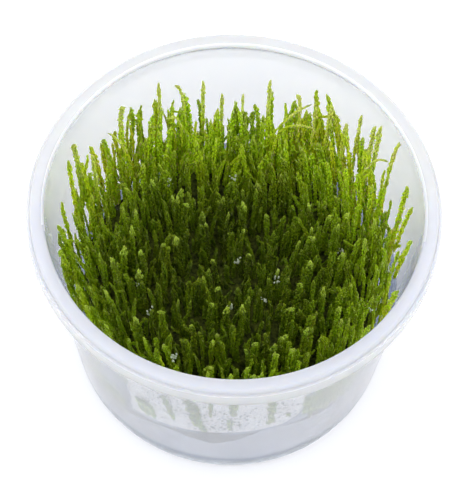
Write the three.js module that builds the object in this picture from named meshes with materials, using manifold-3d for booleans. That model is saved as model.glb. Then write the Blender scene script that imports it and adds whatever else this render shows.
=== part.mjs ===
// Spiky moss in a round culture cup.
// A thin cup of milky plastic holds a layer of culture gel. The moss stands on the gel: a dense mat
// of shoots that fan out towards the wall, and taller single shoots that stand up out of the mat.
// Millimetres, +Z up, origin at the middle of the cup's underside.

import * as THREE from 'three';
import { mergeVertices } from 'three/addons/utils/BufferGeometryUtils.js';
import Module from 'manifold-3d';

const wasm = await Module();
wasm.setup();

// Cup: a flat base, a rounded heel, a straight cone of wall and a folded rim
const cupHeight = 66;
const baseRadius = 34.5;
const heelHeight = 6.4;
const heelTopRadius = 39;
const wallLean = 0.1115;
const wallThickness = 1.15;
const floorThickness = 1.2;
const cupSides = 56;
const heelSteps = 3;

// Rim: a flat top plate, a small step at its edge, and a skirt that hangs clear of the wall
const rimPlateThickness = 1.3;
const rimTopInnerRadius = 45.2;
const rimTopOuterRadius = 47.1;
const rimEdgeRadius = 47.8;
const skirtOuterRadius = 48.5;
const skirtInnerRadius = 47.55;
const skirtBottomHeight = 60.2;
const stepHeight = 64.4;
const rimInnerDrop = 1.0;

// Gel
const gap = 0.3;
const gelTop = 31;
const gelSides = 40;

// Mat: a lumpy cushion of old stems with tufts of shoots grown from it
const matTop = 45.5;
const matFootRadius = 32;
const matBulgeRadius = 39;
const matSides = 30;
const matLumpHeight = 1.5;
const tuftCount = 100;
const tuftRadius = 2.15;
const tuftReach = 40.8;
const tuftTipLow = 51;
const tuftTipHigh = 56.3;
const tuftRootDepth = 4;
const tuftSides = 4;
const tuftRings = 3;

// Tall shoots
const shootRadius = 0.85;
const shootRootHeight = 40.5;
const shootRootPull = 0.8;
const shootRootReach = 33.5;
const shootSides = 5;
const shootRings = 5;
const socketRadius = 1.55;
const socketSpare = 0.6;
const tuftToShoot = 3.6;

// Where the tips of the tall shoots stand, side by side along the wall and then inside the tuft
const backTips = [
  [-29, 30, 59], [-19.7, 36.2, 61], [-13.6, 35.6, 61], [-8.9, 36.6, 62], [-4.2, 35.8, 58],
  [0.9, 34.7, 60], [7.3, 37.1, 63], [15.1, 34.5, 61], [18.7, 33, 58], [22.4, 32, 61],
  [26.2, 28.9, 58], [29.6, 29.6, 61], [32.8, 26.6, 61], [34, 24.6, 64.5], [37.6, 20.4, 64.5],
];
const leftTips = [
  [-34.5, 16.4, 59], [-38.6, 17.8, 61], [-40, 13.9, 60], [-41.4, -2.2, 57], [-40.6, -8.8, 57],
  [-36, -17.9, 57], [-28.7, -27.9, 57],
];
const rightTips = [
  [40.8, 10.9, 60], [42, 5.2, 60], [42, -2.7, 58], [38.9, -15.6, 57], [32.4, -25.1, 57],
];
const innerTips = [
  [-14.9, 7.2, 57], [2.5, 5.3, 57], [22.7, 3.8, 57], [19.2, -2.2, 57], [27, 4.6, 57], [-21.7, -7.9, 57],
];
const frontTips = [
  [-4.5, -38.8, 57], [0.9, -39.1, 57], [4.6, -37.2, 57],
];

// Materials
const milkyPlastic = new THREE.MeshStandardMaterial({
  color: 0xeceff5, roughness: 0.4, metalness: 0, transparent: true, opacity: 0.45,
});
const cultureGel = new THREE.MeshStandardMaterial({
  color: 0xd3dae2, roughness: 0.15, metalness: 0, transparent: true, opacity: 0.5,
});
const mossMat = new THREE.MeshStandardMaterial({ color: 0x3c5a10, roughness: 0.75, metalness: 0 });
const mossShoot = new THREE.MeshStandardMaterial({ color: 0x7fa52a, roughness: 0.65, metalness: 0 });

// A repeatable number from 0 to 1 for item i, a different one for each use
function scatter(i, use) {
  const wave = Math.sin(i * 12.9898 + use * 78.233) * 43758.5453;
  return wave - Math.floor(wave);
}

// Join a geometry's doubled vertices and drop the triangles that have shrunk to a line
function closeUp(geometry) {
  geometry.deleteAttribute('normal');
  geometry.deleteAttribute('uv');
  const merged = mergeVertices(geometry, 1e-4);
  const corners = merged.index.array;
  const kept = [];
  for (let i = 0; i < corners.length; i += 3) {
    const [a, b, c] = [corners[i], corners[i + 1], corners[i + 2]];
    if (a !== b && b !== c && c !== a) kept.push(a, b, c);
  }
  merged.setIndex(kept);
  return merged;
}

function toSolid(geometry) {
  return new wasm.Manifold(new wasm.Mesh({
    numProp: 3,
    vertProperties: new Float32Array(geometry.attributes.position.array),
    triVerts: new Uint32Array(geometry.index.array),
  }));
}

function toGeometry(solid) {
  const mesh = solid.getMesh();
  const geometry = new THREE.BufferGeometry();
  geometry.setAttribute('position', new THREE.BufferAttribute(mesh.vertProperties, 3));
  geometry.setIndex(new THREE.BufferAttribute(mesh.triVerts, 1));
  return geometry;
}

function named(name, geometry, material) {
  geometry.computeVertexNormals();
  const mesh = new THREE.Mesh(geometry, material);
  mesh.name = name;
  return mesh;
}

// Turn an outline of (radius, height) points round the Z axis
function turned(points, sides) {
  const geometry = new THREE.LatheGeometry(points, sides);
  geometry.rotateX(Math.PI / 2);
  return closeUp(geometry);
}

function wallOuterRadius(height) {
  return heelTopRadius + (height - heelHeight) * wallLean;
}

function wallInnerRadius(height) {
  return wallOuterRadius(height) - wallThickness;
}

// The cup's outline runs from the base's middle, up the outside, over the rim and down the inside
function cup() {
  const plateUnder = cupHeight - rimPlateThickness;
  const skirtRound = 0.3;
  const plateRound = 0.6;
  const outerHeel = wallOuterRadius(0);
  const innerHeelTop = heelHeight + 0.8;
  const innerHeel = wallInnerRadius(floorThickness);
  const outline = new THREE.Path();
  outline.moveTo(0, 0);
  outline.lineTo(baseRadius, 0);
  outline.quadraticCurveTo(outerHeel, 0, heelTopRadius, heelHeight);
  outline.lineTo(wallOuterRadius(plateUnder - plateRound), plateUnder - plateRound);
  outline.lineTo(wallOuterRadius(plateUnder) + plateRound, plateUnder);
  outline.lineTo(skirtInnerRadius - plateRound, plateUnder);
  outline.lineTo(skirtInnerRadius, plateUnder - plateRound);
  outline.lineTo(skirtInnerRadius, skirtBottomHeight);
  outline.lineTo(skirtOuterRadius - skirtRound, skirtBottomHeight);
  outline.lineTo(skirtOuterRadius, skirtBottomHeight + skirtRound);
  outline.lineTo(skirtOuterRadius, stepHeight - skirtRound);
  outline.lineTo(skirtOuterRadius - skirtRound, stepHeight);
  outline.lineTo(rimEdgeRadius, stepHeight + skirtRound);
  outline.quadraticCurveTo(rimEdgeRadius, cupHeight, rimTopOuterRadius, cupHeight);
  outline.lineTo(rimTopInnerRadius, cupHeight);
  outline.quadraticCurveTo(
    wallInnerRadius(cupHeight), cupHeight,
    wallInnerRadius(cupHeight - rimInnerDrop), cupHeight - rimInnerDrop,
  );
  outline.lineTo(wallInnerRadius(innerHeelTop), innerHeelTop);
  outline.quadraticCurveTo(innerHeel, floorThickness, baseRadius - wallThickness, floorThickness);
  outline.lineTo(0, floorThickness);
  return named('cup', turned(outline.getPoints(heelSteps), cupSides), milkyPlastic);
}

// The gel fills the cup's foot, a gap inside the wall
function gel() {
  const bottom = floorThickness + gap;
  const heelTop = heelHeight + 0.8;
  const outline = new THREE.Path();
  outline.moveTo(0, bottom);
  outline.lineTo(baseRadius - wallThickness - gap, bottom);
  outline.quadraticCurveTo(
    wallInnerRadius(bottom) - 2 * gap, bottom,
    wallInnerRadius(heelTop) - gap, heelTop,
  );
  outline.lineTo(wallInnerRadius(gelTop) - gap, gelTop);
  outline.lineTo(0, gelTop);
  return named('gel', turned(outline.getPoints(heelSteps), gelSides), cultureGel);
}

// Place a straight prism's rings along a path, each with its own radius: a shoot that bends and tapers
function bentSpike(path, radiusAt, sides, rings) {
  const geometry = new THREE.CylinderGeometry(1, 1, 1, sides, rings);
  const frames = path.computeFrenetFrames(rings);
  const place = geometry.attributes.position;
  for (let i = 0; i < place.count; i += 1) {
    const along = place.getY(i) + 0.5;
    const ring = Math.round(along * rings);
    const radius = radiusAt(along);
    const point = path.getPointAt(along);
    point.addScaledVector(frames.normals[ring], place.getX(i) * radius);
    point.addScaledVector(frames.binormals[ring], -place.getZ(i) * radius);
    place.setXYZ(i, point.x, point.y, point.z);
  }
  return closeUp(geometry);
}

// A shoot starts nearer the cup's axis than it ends, goes up first and then leans out
function shootPath(tip, rootHeight = shootRootHeight) {
  const reach = Math.hypot(tip.x, tip.y);
  const rootReach = Math.min(reach * shootRootPull, shootRootReach);
  const pull = reach > 0 ? rootReach / reach : 0;
  const root = new THREE.Vector3(tip.x * pull, tip.y * pull, rootHeight);
  const bend = new THREE.Vector3(
    root.x + (tip.x - root.x) * 0.35,
    root.y + (tip.y - root.y) * 0.35,
    rootHeight + (tip.z - rootHeight) * 0.6,
  );
  return new THREE.QuadraticBezierCurve3(root, bend, tip);
}

function tuftTaper(along) {
  return along >= 1 ? 0 : tuftRadius * (1 - 0.3 * along);
}

function shootTaper(along) {
  const width = 0.75 + 0.9 * along - 0.85 * along * along;
  return along >= 1 ? 0 : shootRadius * width * Math.min(1, (1 - along) * 4.5);
}

// The cushion of old stems: turned from an outline, then made lumpy on its crown
function cushion() {
  const bottom = gelTop + gap;
  const crownDrop = 3;
  const crownSteps = 4;
  const outline = [
    new THREE.Vector2(0, bottom),
    new THREE.Vector2(matFootRadius, bottom),
    new THREE.Vector2((matFootRadius + matBulgeRadius) / 2, (bottom + matTop) / 2 - 1),
    new THREE.Vector2(matBulgeRadius, matTop - crownDrop),
  ];
  for (let i = crownSteps; i >= 0; i -= 1) {
    outline.push(new THREE.Vector2((matBulgeRadius - 2) * (i / crownSteps), matTop - 0.3));
  }
  const geometry = turned(outline, matSides);
  const place = geometry.attributes.position;
  for (let i = 0; i < place.count; i += 1) {
    if (place.getZ(i) < matTop - 1) continue;
    const lump = Math.sin(place.getX(i) * 0.41 + 0.7) * Math.cos(place.getY(i) * 0.37 - 0.4);
    place.setZ(i, place.getZ(i) + lump * matLumpHeight);
  }
  return geometry;
}

function pathsClear(path, others, distance) {
  const samples = 8;
  const points = path.getPoints(samples);
  return others.every((other) => other.getPoints(samples).every(
    (there) => points.every((here) => here.distanceTo(there) > distance),
  ));
}

// The mat: cushion and tufts grown into one piece, with a socket for each tall shoot
function mat(tallTips) {
  const tallPaths = tallTips.map((tip) => shootPath(tip));
  let solid = toSolid(cushion());
  const goldenAngle = Math.PI * (3 - Math.sqrt(5));
  for (let i = 0; i < tuftCount; i += 1) {
    const reach = tuftReach * Math.sqrt((i + 0.5) / tuftCount);
    const turn = i * goldenAngle;
    const tip = new THREE.Vector3(
      reach * Math.cos(turn) + (scatter(i, 1) - 0.5) * 1.6,
      reach * Math.sin(turn) + (scatter(i, 2) - 0.5) * 1.6,
      tuftTipLow + (tuftTipHigh - tuftTipLow) * scatter(i, 3),
    );
    const path = shootPath(tip, matTop - tuftRootDepth);
    if (!pathsClear(path, tallPaths, tuftToShoot)) continue;
    solid = solid.add(toSolid(bentSpike(path, tuftTaper, tuftSides, tuftRings)));
  }
  for (const tip of tallTips) {
    const path = shootPath(tip);
    const mouth = path.getPointAt(0.45);
    const foot = path.getPointAt(0).addScaledVector(path.getTangentAt(0), -socketSpare);
    const hole = new THREE.LineCurve3(foot, mouth);
    solid = solid.subtract(toSolid(bentSpike(hole, () => socketRadius, shootSides, 1)));
  }
  const bodies = solid.decompose().sort((a, b) => b.volume() - a.volume());
  return named('moss_mat', toGeometry(bodies[0]), mossMat);
}

function tallShoot(tip, number) {
  const path = shootPath(tip);
  const name = `shoot_${String(number).padStart(2, '0')}`;
  return named(name, bentSpike(path, shootTaper, shootSides, shootRings), mossShoot);
}

const tallTips = [...backTips, ...leftTips, ...rightTips, ...innerTips, ...frontTips]
  .map(([x, y, z]) => new THREE.Vector3(x, y, z));

const culture = new THREE.Group();
culture.add(cup(), gel(), mat(tallTips));
tallTips.forEach((tip, i) => culture.add(tallShoot(tip, i + 1)));

export default culture;
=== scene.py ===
"""Spiky moss in a round culture cup: a turned cup of milky plastic, clear gel, and leafy shoots on it."""
import math

import bpy
import numpy as np
from mathutils import Matrix, Vector


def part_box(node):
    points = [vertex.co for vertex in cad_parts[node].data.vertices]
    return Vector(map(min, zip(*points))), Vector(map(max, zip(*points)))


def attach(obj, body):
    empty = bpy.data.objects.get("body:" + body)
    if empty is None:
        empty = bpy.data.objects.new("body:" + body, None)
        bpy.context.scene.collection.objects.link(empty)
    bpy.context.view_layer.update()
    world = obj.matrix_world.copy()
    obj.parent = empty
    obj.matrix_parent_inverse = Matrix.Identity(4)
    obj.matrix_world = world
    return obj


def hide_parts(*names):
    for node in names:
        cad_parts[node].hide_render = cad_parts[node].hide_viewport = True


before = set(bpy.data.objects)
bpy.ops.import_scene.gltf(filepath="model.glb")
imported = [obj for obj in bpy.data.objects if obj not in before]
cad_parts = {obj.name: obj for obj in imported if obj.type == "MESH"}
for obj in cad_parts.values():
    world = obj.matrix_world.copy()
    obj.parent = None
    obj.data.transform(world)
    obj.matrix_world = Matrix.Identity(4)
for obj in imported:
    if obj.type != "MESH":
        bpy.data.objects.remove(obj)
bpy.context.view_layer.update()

MM = 0.001
CUP_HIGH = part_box("cup")[1]
RIM_RADIUS = CUP_HIGH.x
CUP_HEIGHT = CUP_HIGH.z
GEL_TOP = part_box("gel")[1].z
TALL_SHOOTS = sorted(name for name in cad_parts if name.startswith("shoot_"))

# The photo's frame and where the cup's mouth sits in it, in pixels
PHOTO_WIDTH, PHOTO_HEIGHT = 460, 489
MOUTH_PIXEL = (234.5, 205.5)
FOCAL_PIXELS = 2501
SENSOR = 36
CAMERA_ELEVATION = math.radians(60.56)
CAMERA_DISTANCE = 12 * RIM_RADIUS
CAMERA_ROLL = math.radians(2.4)

# Towards the middle of the large soft light
LIGHT_FROM = (-0.1, -0.15, 1)

# The cup's section
HEEL_RADIUS, HEEL_HEIGHT, HEEL_STEPS = 39 * MM, 6.4 * MM, 10
INNER_HEEL = HEEL_HEIGHT + 0.8 * MM
BASE_RADIUS = 34.5 * MM
WALL_LEAN = 0.1115
WALL_THICKNESS = 1.15 * MM
FLOOR_THICKNESS = 1.2 * MM
PLATE_THICKNESS, PLATE_ROUND = 1.3 * MM, 0.6 * MM
SKIRT_THICKNESS, SKIRT_ROUND, SKIRT_LOW = 0.95 * MM, 0.3 * MM, 60.2 * MM
STEP_RADIUS, STEP_HEIGHT = 47.8 * MM, 64.4 * MM
TOP_OUTER_RADIUS, TOP_INNER_RADIUS = 47.1 * MM, 45.2 * MM
INNER_ROUND = 1.0 * MM
OUTER_ROWS, INNER_ROWS = 16, 32
CUP_STEPS, GEL_STEPS = 192, 128
GEL_CLEARANCE = 0.06 * MM
# Heights that part the wall, skirt and rim, and the rim's inner edge: its depth, and where it gets cloudier
# and is painted lighter towards the back
RIM_FROM, SKIRT_TO = 60 * MM, 64.2 * MM
EDGE_DEPTH, EDGE_FROM = 1.2 * MM, -8 * MM
# The inside gets milkier in steps towards the back: where they start, their distance and number
MILKIER_FROM, MILKIER_STEP, MILKIER_COUNT = -22 * MM, 7 * MM, 4
FAINT_GLOSS = 0.15

# The moss
STEM_TOP = 41 * MM
STEM_RADIUS = 0.13 * MM
LEAF_CORNERS = 4
# Painted highlight: the palest leaves are blended towards this colour, standing in for glints on wet leaves
GLINT_PAINT = (0.25, 0.31, 0.085)
ON_GEL = GEL_TOP + 0.1 * MM
# Gap kept to the wall by what is pressed on it, and by what stands behind its mist
PRESSED = 0.1 * MM
BEHIND_MIST = 1.4 * MM
APART = 1.1 * MM
# The misted patch of the wall: middle and half spread in degrees round the axis, and heights
MIST_MIDDLE, MIST_SPREAD = -94, 31
MIST_HIGH = 53.5 * MM
# The gel has set a little aslant and drawn back from the wall: height of its edge over x
GEL_EDGE, GEL_SLOPE = 27.2 * MM, 0.16
# The dim band under the gel's edge, a sheet of painted shade: middle and half spread, and angles and heights
# of its lower edge
BAND_MIDDLE, BAND_SPREAD = -91, 41
BAND_ANGLES = (-132, -112, -100, -94, -86, -80, -75, -70, -62, -50)
BAND_LOW = (15, 20.5, 18.5, 17.5, 20, 24, 26.5, 26, 25, 25)
# Shoots on the front wall: angle and height of foot and tip, and width
STREAKS = (
    (-117.5, 25.5, -118, 36, 1.7), (-115, 26, -117, 35, 1.6), (-119.5, 27, -120.5, 35.5, 1.3),
    (-107.5, 30.6, -110.5, 46, 1.4), (-99.7, 30, -101.9, 48, 1.9), (-98.4, 31, -99.8, 46, 1.3),
    (-96.6, 27, -100, 33.5, 1.5), (-94.8, 38.2, -94.5, 49, 0.8), (-87.6, 40.2, -87.3, 50.5, 1.6),
    (-88.4, 30.1, -88.2, 37.5, 1.1), (-74.8, 32.6, -75.3, 49, 1.5), (-76, 32.4, -73.8, 34.5, 1.2),
    (-68.6, 34, -69, 37, 0.8),
)
# Shoots side by side on the wall: first and last angle, number, lowest and highest foot and tip
WALL_GROUPS = (
    (-147, -136, 9, 17, 22, 27, 34), (-135, -126, 7, 15, 18, 27, 33), (-63, -44, 20, 27, 32, 44, 53),
)
# Shoots on the wall before this angle are faint
FAINT_BEFORE = -125
# Fields of drops: angles, heights, number, and use of scatter
DROP_FIELDS = (
    (-102, -82, 29, 44, 150, 100), (-121, -68, 30, 50, 150, 104), (-118, -102, 36, 50, 80, 108),
    (-74, -66, 34, 48, 30, 112),
)
# Darkest place of the bed; distances to the sides count less than those to the front and back
SHADED_SPOT = (-2 * MM, -8 * MM, 50 * MM)
SIDE_SHARE = 0.85
SHOOT_COUNT, TWIG_COUNT = 1180, 200
PIECE_COUNT = 6
BED_RADIUS = 38.5 * MM
CROWN_HEIGHT = 56.6 * MM
# Rise over which a shoot leans in full, and height from which all shoots are of the tall kind
FULL_RISE, TALL_FROM = 26 * MM, 49 * MM
# Share of the shoots that stand up over their neighbours, and of those beside the wall that stay low
STANDING_SHARE, THINNED_SHARE = 0.24, 0.45
# Bright young tips in the middle of the bed, in millimetres
YOUNG_TIPS = (
    (-15.9, -5.8), (-12.9, -4.8), (-2.4, -7.8), (4.4, -7.8), (11.7, -10.1), (16.5, -2.9), (19.6, -1.4),
    (20.6, -9.1), (16.1, -15.2), (-15.7, -20.6), (-8.5, -20), (-4.2, -16.1), (1.4, -17.2), (-1.5, -19.7),
    (17.6, -20.1), (14.7, -26.7), (-11, -26.1), (-3.7, -29.6), (11.8, -28.1), (8.8, -30.8), (17.6, -30.4),
    (21.4, -25.4), (12.6, -34.5), (14.7, -34.7), (-4.7, -36.8), (6.8, -37.6), (-2.6, -28.3), (-15.5, 8.3),
    (-14.6, 6.2), (-7.9, -0.8), (-13, -2.4), (-20, 13.6), (-23.1, 4.4), (-21.4, -13.5), (-28.3, -7.2),
    (-29.2, -12), (-31.1, -16.1), (2.9, 7), (17.3, 3.1), (18.4, 7.2), (1.5, 0.4), (26.4, 1.9),
    (28.1, -4.5), (32.8, -1.6), (36.6, -7.3), (23.1, -15.4), (26.7, -19.1), (30.2, -22.4), (-25.6, -2.2),
    (-32.8, -10.6), (-25.9, -25), (-20.5, -29.1), (-15.7, -33.3),
)
# Single shoots whose tips hook over, and how far across in millimetres
HOOKED = {"shoot_03": -2.2, "shoot_01": 1.6, "shoot_15": 1.8, "shoot_08": -1.5, "shoot_17": -0.8}
# Paths of pale shoots that arch or lie across at the back, in millimetres
STRAY_PATHS = (
    ((-13.6, 25.5, 45), (-13.2, 26.8, 57.5), (-14.2, 27.8, 62), (-17.6, 27.3, 57.5)),
    ((7.8, 26.5, 52), (9.5, 28, 56.5), (13.5, 31.5, 58), (17.8, 34.6, 56.5)),
    ((9.5, 27, 54), (11.5, 28, 57.5), (15, 28.4, 57), (18.9, 28.1, 55.5)),
    ((-24.5, 18.5, 47), (-26, 19.5, 54), (-28, 22, 58), (-31.5, 23.5, 57)),
    ((29, 16, 48), (30.5, 18, 55), (33, 19.5, 59.5), (36.5, 18.5, 57.5)),
)
# Dark hollows between the shoots: place, depth and reach in millimetres
HOLLOWS = (
    (-17.5, 1.2, 5, 3), (-8.2, -9.5, 5, 3), (-0.3, -11, 6, 3.5), (3, -16.1, 4, 3.5), (13.9, -7.6, 4, 3.5),
    (-5.8, -21.8, 4, 3.5), (23.3, -3.6, 4, 3), (8.9, -1.1, 4, 3),
)
# Drops held between the leaves: place in millimetres, and size; each is a cluster of beads, painted pale as a
# glint
HELD_BEADS = 7
HELD_DROPS = (
    (-0.8, 14.6, 53.5, 0.6), (-15.7, 13.1, 53, 0.8), (-22.1, -13.5, 51, 0.9), (-18.7, -20.8, 51, 0.8),
    (-12.2, -33.4, 52, 1), (0.2, -19.1, 51, 1.1), (1.1, -5.8, 50.5, 0.7), (10.9, -11.2, 51, 0.9),
    (8, -16.1, 50.5, 0.8), (25.7, -3, 52, 0.8), (32.7, -18.4, 52, 0.8), (37.3, -8.1, 52, 0.8),
)
GOLDEN_ANGLE = math.pi * (3 - math.sqrt(5))
SCATTER_STEP, SCATTER_USE, SCATTER_REACH = 12.9898, 78.233, 43758.5453


def scatter(count, use):
    """Repeatable numbers from 0 to 1, one for each item and different for each use"""
    wave = np.sin(np.arange(count) * SCATTER_STEP + use * SCATTER_USE) * SCATTER_REACH
    return wave - np.floor(wave)


def between(low, high, share):
    return low + (high - low) * share


def grows(value, start, over):
    """0 up to start, then evenly up to 1 over the given stretch"""
    return np.clip((value - start) / over, 0, 1)


def clear_selection():
    if bpy.context.object and bpy.context.object.mode != "OBJECT":
        bpy.ops.object.mode_set(mode="OBJECT")
    bpy.ops.object.select_all(action="DESELECT")


def pick(piece):
    clear_selection()
    piece.select_set(True)
    bpy.context.view_layer.objects.active = piece


def edit_whole():
    bpy.ops.object.mode_set(mode="EDIT")
    bpy.ops.mesh.select_all(action="SELECT")


def leave_edit():
    bpy.ops.object.mode_set(mode="OBJECT")


def linked(name, mesh):
    piece = bpy.data.objects.new(name, mesh)
    bpy.context.scene.collection.objects.link(piece)
    return piece


def joined(name, corners, triangles, material):
    """One smooth piece from the corners and triangles of many"""
    mesh = bpy.data.meshes.new(name)
    mesh.from_pydata(np.concatenate(corners).tolist(), [], np.concatenate(triangles).tolist())
    mesh.shade_smooth()
    mesh.materials.append(material)
    return linked(name, mesh)


def smooth_below(piece, degrees, material):
    """Smooth over edges flatter than this"""
    pick(piece)
    bpy.ops.object.shade_smooth_by_angle(angle=math.radians(degrees))
    piece.data.materials.append(material)


def on_circle(degrees, reach, height):
    angle = math.radians(degrees)
    return reach * math.cos(angle), reach * math.sin(angle), height


def wall_outer(height):
    return HEEL_RADIUS + (height - HEEL_HEIGHT) * WALL_LEAN


def wall_inner(height):
    return wall_outer(height) - WALL_THICKNESS


def gel_edge(x):
    """Height of the gel's edge against the wall, over the place x across the cup"""
    return min(GEL_EDGE + GEL_SLOPE * x, GEL_TOP - 0.5 * MM)


def gel_edge_at(turn):
    """Height of the gel's edge at an angle round the cup"""
    return gel_edge(wall_inner(GEL_EDGE) * math.cos(math.radians(turn)))


# Materials

class Nodes:
    """Adds nodes to one tree; an input is another node's output or a value"""

    def __init__(self, tree):
        self.tree = tree

    def put(self, socket, value):
        if isinstance(value, bpy.types.NodeSocket):
            self.tree.links.new(value, socket)
        elif socket.type == "RGBA":
            socket.default_value = (*value, 1)
        else:
            socket.default_value = value

    def add(self, kind, inputs, **settings):
        node = self.tree.nodes.new(kind)
        for name, value in settings.items():
            setattr(node, name, value)
        for name, value in inputs.items():
            self.put(node.inputs[name], value)
        return node

    def place(self):
        """Where a point lies on the piece"""
        return self.tree.nodes.new("ShaderNodeTexCoord").outputs["Object"]

    def noise(self, scale, detail=2):
        inputs = {"Scale": scale, "Detail": detail, "Vector": self.place()}
        return self.add("ShaderNodeTexNoise", inputs).outputs["Fac"]

    def attribute(self, name):
        return self.add("ShaderNodeAttribute", {}, attribute_name=name).outputs["Fac"]

    def vector(self, how, first, second):
        return self.add("ShaderNodeVectorMath", {0: first, 1: second}, operation=how)

    def scaled(self, value, low, high, to_low=0, to_high=1):
        """A value between low and high, brought between two others and kept there"""
        return self.add("ShaderNodeMapRange", {"Value": value, "From Min": low, "From Max": high,
                                               "To Min": to_low, "To Max": to_high}).outputs["Result"]

    def up_axis(self, axis, low, high):
        """0 to 1 from low to high along an axis of the piece"""
        parts = self.add("ShaderNodeSeparateXYZ", {"Vector": self.place()})
        return self.scaled(parts.outputs[axis], low, high)

    def ramp(self, factor, *stops):
        node = self.add("ShaderNodeValToRGB", {"Fac": factor})
        bar = node.color_ramp
        while len(bar.elements) < len(stops):
            bar.elements.new(0.5)
        for element, (place, colour) in zip(bar.elements, stops):
            element.position = place
            element.color = (*colour, 1)
        return node.outputs["Color"]

    def two_tone(self, factor, first, second, low=0.3, high=0.7):
        return self.ramp(factor, (low, first), (high, second))

    def blend(self, factor, first, second, how="MIX"):
        return self.add("ShaderNodeMix", {0: factor, 6: first, 7: second}, data_type="RGBA", blend_type=how,
                        clamp_result=True).outputs[2]

    def times(self, colour, *others):
        for other in others:
            colour = self.blend(1.0, colour, other, "MULTIPLY")
        return colour

    def uneven(self, scale, low, high):
        """A roughness that varies over the piece between two values"""
        return self.scaled(self.noise(scale), 0.3, 0.7, low, high)

    def bump(self, height, strength, distance):
        return self.add("ShaderNodeBump", {"Strength": strength, "Distance": distance,
                                           "Height": height}).outputs["Normal"]


class Look(Nodes):
    """A material with one shader"""

    def __init__(self, name):
        self.material = bpy.data.materials.new(name)
        self.material.use_nodes = True
        super().__init__(self.material.node_tree)
        self.tree.nodes.clear()

    def finish(self, inputs):
        shader = self.add("ShaderNodeBsdfPrincipled", inputs)
        self.add("ShaderNodeOutputMaterial", {"Surface": shader.outputs["BSDF"]})
        return self.material


def grey(level):
    return level, level, level


def fibres_and_painted_shade(name, scale, colour, roughness_scale, strength, distance):
    """Dead stems, and the painted shade under the gel's edge; colour gives where on the fibres its dark and
    light tones stand
    """
    look = Look(name)
    fibres = look.noise(scale, 4)
    return look.finish({
        "Base Color": look.ramp(fibres, *colour),
        "Roughness": look.uneven(roughness_scale, 0.6, 0.85),
        "Specular IOR Level": 0.1,
        "Normal": look.bump(fibres, strength, distance),
    })


def milky_plastic(name, pale, paler, clearness, smooth=0.09, rough=0.14, gloss=0.5, back=grey(1.0)):
    """Thin polypropylene: white, cloudy, lets light and blurred shapes through; a painted shade darkens its
    heel, and back multiplies its colour towards the back, as painted shade where below one and painted light
    where above
    """
    look = Look(name)
    cloud = look.two_tone(look.noise(55, 4), pale, paler)
    # Painted shade: a darker bluish band round the heel
    heel_shade = look.ramp(look.up_axis("Z", 0, 20 * MM), (0.0, (0.58, 0.63, 0.67)), (0.455, (0.6, 0.65, 0.69)),
                     (0.475, grey(1.0)))
    # Painted light and shade towards the back of the cup, as back gives
    behind = look.two_tone(look.up_axis("Y", -8 * MM, 16 * MM), grey(1.0), back, 0.0, 1.0)
    return look.finish({
        "Base Color": look.times(cloud, heel_shade, behind),
        "Roughness": look.uneven(240, smooth, rough),
        "Transmission Weight": clearness,
        "Specular IOR Level": gloss,
        "IOR": 1.45,
        "Subsurface Weight": 1.0,
        "Subsurface Radius": (0.7, 0.8, 1.0),
        "Subsurface Scale": 0.0015,
        "Normal": look.bump(look.noise(70), 0.04, 0.0005),
    })


def wall_mist():
    """Fine condensation: white and cloudy; where it is thick, beads with painted shade round their rims"""
    look = Look("wall_mist")
    cells = look.add("ShaderNodeTexVoronoi", {"Scale": 1000, "Vector": look.place()}).outputs["Distance"]
    # Painted shade: a darker ring round each bead, as the edge of a drop looks
    bead_rim_shade = look.ramp(cells, (0.0, grey(1.0)), (0.24, grey(1.0)), (0.32, (0.6, 0.63, 0.66)),
                      (0.46, (0.96, 0.97, 0.98)))
    thick = look.two_tone(look.noise(160), grey(0.0), grey(1.0), 0.42, 0.52)
    film = look.two_tone(look.noise(450, 4), (0.96, 0.97, 0.98), grey(1.0), 0.35, 0.65)
    return look.finish({
        "Base Color": look.blend(thick, film, bead_rim_shade),
        "Roughness": look.uneven(300, 0.5, 0.65),
        "Transmission Weight": 0.05,
        "IOR": 1.33,
        "Normal": look.bump(cells, 0.6, 0.0004),
    })


def drops_painted_light(name, dark, light):
    """Partly clear drops with painted colour: a pale one stands in for a glint, a grey one for a drop's shade
    """
    look = Look(name)
    return look.finish({
        "Base Color": look.two_tone(look.noise(900, 3), dark, light),
        "Roughness": look.uneven(600, 0.08, 0.2),
        "Transmission Weight": 0.4,
        "IOR": 1.33,
        "Normal": look.bump(look.noise(1500), 0.3, 0.0002),
    })


def culture_gel():
    """Clear gel with a faint cool haze"""
    look = Look("culture_gel")
    return look.finish({
        "Base Color": look.two_tone(look.noise(70, 3), (0.605, 0.66, 0.775), (0.7, 0.75, 0.86), 0.35),
        "Roughness": look.uneven(150, 0.1, 0.18),
        "Transmission Weight": 0.93,
        "IOR": 1.34,
        "Normal": look.bump(look.noise(180), 0.1, 0.0004),
    })


def sunned(look):
    """Dark in the shaded spot of the bed, and brighter towards the wall, where light comes through"""
    squeezed = look.vector("MULTIPLY", look.place(), (SIDE_SHARE, 1, 1)).outputs[0]
    away = look.vector("DISTANCE", squeezed, SHADED_SPOT).outputs["Value"]
    return look.ramp(look.scaled(away, 10 * MM, 44 * MM), (0.0, grey(0.47)), (0.2, grey(0.58)),
                     (0.42, grey(1.0)), (0.62, (2.15, 2.1, 2.0)), (0.78, (3.5, 3.5, 4.4)),
                     (1.0, (4.2, 4.2, 7.0)))


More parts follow.
